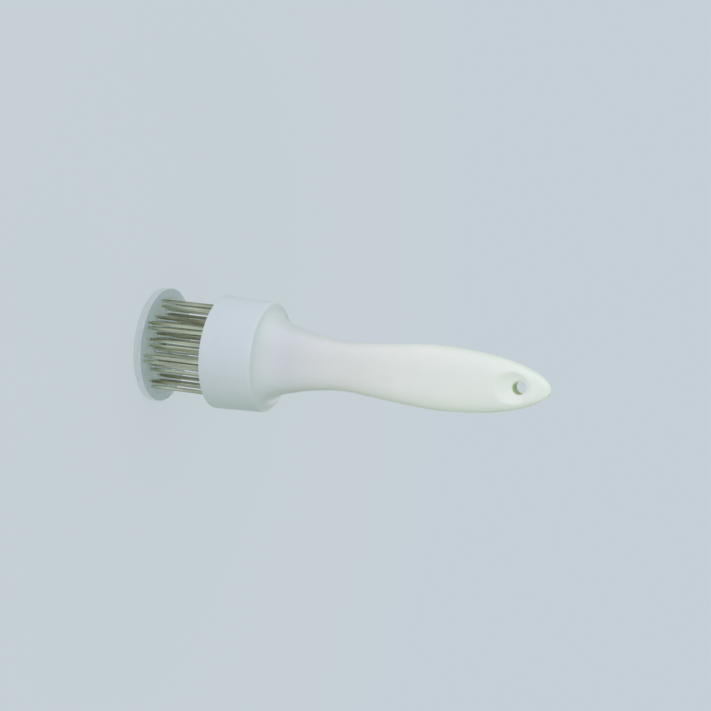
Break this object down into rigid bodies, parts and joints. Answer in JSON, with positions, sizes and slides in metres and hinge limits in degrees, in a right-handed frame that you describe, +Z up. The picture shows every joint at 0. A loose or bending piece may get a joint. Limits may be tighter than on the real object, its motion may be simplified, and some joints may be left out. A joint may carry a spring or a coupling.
{
  "type": "blade meat tenderizer",
  "caption": "Hand press for tenderizing meat: a plastic handle with a round head, 24 two-pointed steel blades in three rings, and a clear sprung guard disc over their tips.",
  "frame": {"origin": "centre of the guard disc's flat outer face, on which the tool stands", "axes": "+Z up the tool from the guard to the end of the handle, X across the handle's width, Y through its thickness and along the hang hole"},
  "size_m": [0.056, 0.056, 0.1989],
  "materials": {
    "white_plastic": "soft gloss moulded white",
    "inner_plastic": "satin moulded off-white",
    "clear_plastic": "clear polished",
    "blade_steel": "stamped and ground stainless steel",
    "spring_steel": "drawn wire and turned steel"
  },
  "bodies": {
    "handle": {"handle_body": "white_plastic", "blade_holder": "inner_plastic", "clamp_plate": "inner_plastic", "holder_screw_1": "spring_steel", "holder_screw_2": "spring_steel", "holder_screw_3": "spring_steel", "holder_screw_4": "spring_steel", "blade_inner_1": "blade_steel", "blade_inner_2": "blade_steel", "blade_inner_3": "blade_steel", "blade_inner_4": "blade_steel", "blade_inner_5": "blade_steel", "blade_inner_6": "blade_steel", "blade_inner_7": "blade_steel", "blade_inner_8": "blade_steel", "blade_middle_1": "blade_steel", "blade_middle_2": "blade_steel", "blade_middle_3": "blade_steel", "blade_middle_4": "blade_steel", "blade_middle_5": "blade_steel", "blade_middle_6": "blade_steel", "blade_middle_7": "blade_steel", "blade_middle_8": "blade_steel", "blade_outer_1": "blade_steel", "blade_outer_2": "blade_steel", "blade_outer_3": "blade_steel", "blade_outer_4": "blade_steel", "blade_outer_5": "blade_steel", "blade_outer_6": "blade_steel", "blade_outer_7": "blade_steel", "blade_outer_8": "blade_steel", "return_spring": "spring_steel"},
    "guard": {"guard_plate": "clear_plastic", "guide_post": "inner_plastic", "post_screw": "spring_steel", "retaining_clip": "spring_steel"}
  },
  "joints": [
    {"name": "guard_slide", "type": "slide", "parent": "handle", "child": "guard", "axis": [0, 0, 1], "range_m": [0, 0.029], "stiffness_N_per_m": 200, "springref_m": -0.02, "deforming": ["return_spring"]}
  ]
}
